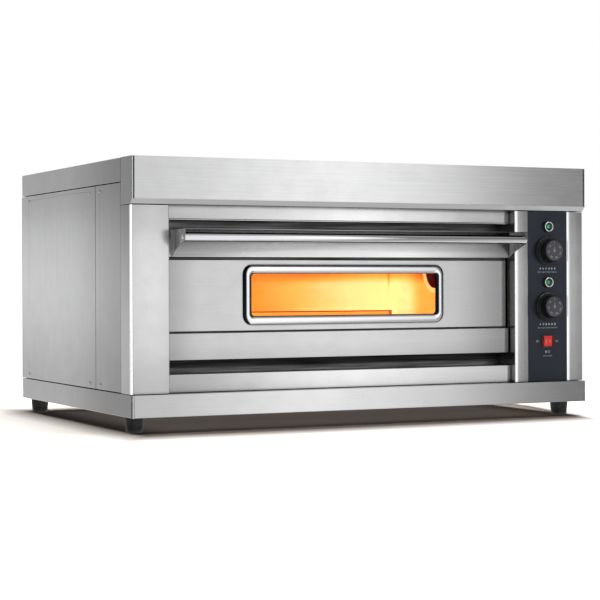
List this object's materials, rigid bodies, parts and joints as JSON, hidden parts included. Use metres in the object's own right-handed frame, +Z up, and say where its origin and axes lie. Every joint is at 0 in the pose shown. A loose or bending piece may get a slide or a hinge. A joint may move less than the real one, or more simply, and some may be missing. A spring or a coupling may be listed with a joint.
{
  "type": "deck oven",
  "caption": "Low, wide stainless steel electric deck oven with a drop-down glazed door, tube handle, dark control strip with dials, lamps and rocker, on short rubber feet.",
  "frame": {"origin": "on the floor, under the centre of the overall footprint (handle in front, cable gland behind)", "axes": "+X to the right seen from the front, +Y from the front towards the back, +Z up"},
  "size_m": [1.223, 0.896, 0.625],
  "materials": {
    "brushed_steel": "satin, fine horizontal and vertical brushed grain",
    "galvanised_steel": "dull grey inner sheet",
    "zinc_fasteners": "zinc plated",
    "bronze": "sintered bronze",
    "black_rubber": "matte",
    "polished_chrome": "mirror polished",
    "dark_iron": "heat-darkened",
    "mineral_wool": "loose mineral wool",
    "glass_fibre_rope": "woven glass fibre",
    "door_glass": "clear toughened pane",
    "red_lamp_glass": "dark red heat-resistant glass",
    "panel_paint": "dark blue-grey satin film",
    "black_plastic": "satin bakelite",
    "cream_plastic": "moulded, satin",
    "red_plastic": "gloss, translucent",
    "lamp_bulb_glow": "lit frosted bulb",
    "green_lens": "green lens in a polished collar"
  },
  "bodies": {
    "cabinet": {"base_plinth": "brushed_steel", "bottom_cover": "galvanised_steel", "feet": "black_rubber", "foot_bolts": "zinc_fasteners", "rear_uprights": "galvanised_steel", "chamber_supports": "galvanised_steel", "header_fascia": "brushed_steel", "top_cover": "brushed_steel", "left_post": "brushed_steel", "right_inner_post": "brushed_steel", "right_outer_post": "brushed_steel", "left_front_side_panel": "brushed_steel", "left_rear_side_panel": "brushed_steel", "right_front_side_panel": "brushed_steel", "right_rear_side_panel": "brushed_steel", "back_panel": "brushed_steel", "panel_screws": "zinc_fasteners", "lintel_panel": "brushed_steel", "sill_panel": "brushed_steel", "mouth_frame": "galvanised_steel", "mouth_gasket": "glass_fibre_rope", "oven_chamber": "galvanised_steel", "chamber_insulation": "mineral_wool", "hearth_plate": "dark_iron", "hearth_rails": "galvanised_steel", "upper_heating_elements": "dark_iron", "lower_heating_elements": "dark_iron", "element_clips": "galvanised_steel", "lamp_ring": "polished_chrome", "lamp_glass": "red_lamp_glass", "lamp_housing": "galvanised_steel", "lamp_bulb": "lamp_bulb_glow", "hinge_brackets": "galvanised_steel", "hinge_bushes": "bronze", "control_panel": "panel_paint", "upper_thermostat": "cream_plastic", "lower_thermostat": "cream_plastic", "pilot_lamps": "green_lens", "switch_housing": "black_plastic", "contactor": "black_plastic", "terminal_block": "cream_plastic", "cable_gland": "black_plastic"},
    "door": {"door_hood": "brushed_steel", "door_window_panel": "brushed_steel", "door_lower_panel": "brushed_steel", "door_core_plate": "galvanised_steel", "door_liner": "galvanised_steel", "door_insulation": "mineral_wool", "window_tunnel": "galvanised_steel", "outer_glass": "door_glass", "inner_glass": "door_glass", "window_bezel": "polished_chrome", "handle_tube": "polished_chrome", "handle_ends": "polished_chrome", "hinge_pins": "zinc_fasteners"},
    "upper_dial": {"upper_knob": "black_plastic", "upper_knob_shaft": "zinc_fasteners"},
    "lower_dial": {"lower_knob": "black_plastic", "lower_knob_shaft": "zinc_fasteners"},
    "light_rocker": {"switch_rocker": "red_plastic"}
  },
  "joints": [
    {"name": "door_hinge", "type": "hinge", "parent": "cabinet", "child": "door", "pos_m": [-0.0525, -0.338, 0.172], "axis": [1, 0, 0], "range_deg": [0, 90]},
    {"name": "upper_dial_turn", "type": "hinge", "parent": "cabinet", "child": "upper_dial", "pos_m": [0.506, -0.4, 0.417], "axis": [0, 1, 0], "range_deg": [0, 300]},
    {"name": "lower_dial_turn", "type": "hinge", "parent": "cabinet", "child": "lower_dial", "pos_m": [0.506, -0.4, 0.277], "axis": [0, 1, 0], "range_deg": [0, 300]},
    {"name": "light_switch_rock", "type": "hinge", "parent": "cabinet", "child": "light_rocker", "pos_m": [0.506, -0.38, 0.1897], "axis": [0, 0, -1], "range_deg": [0, 20]}
  ]
}
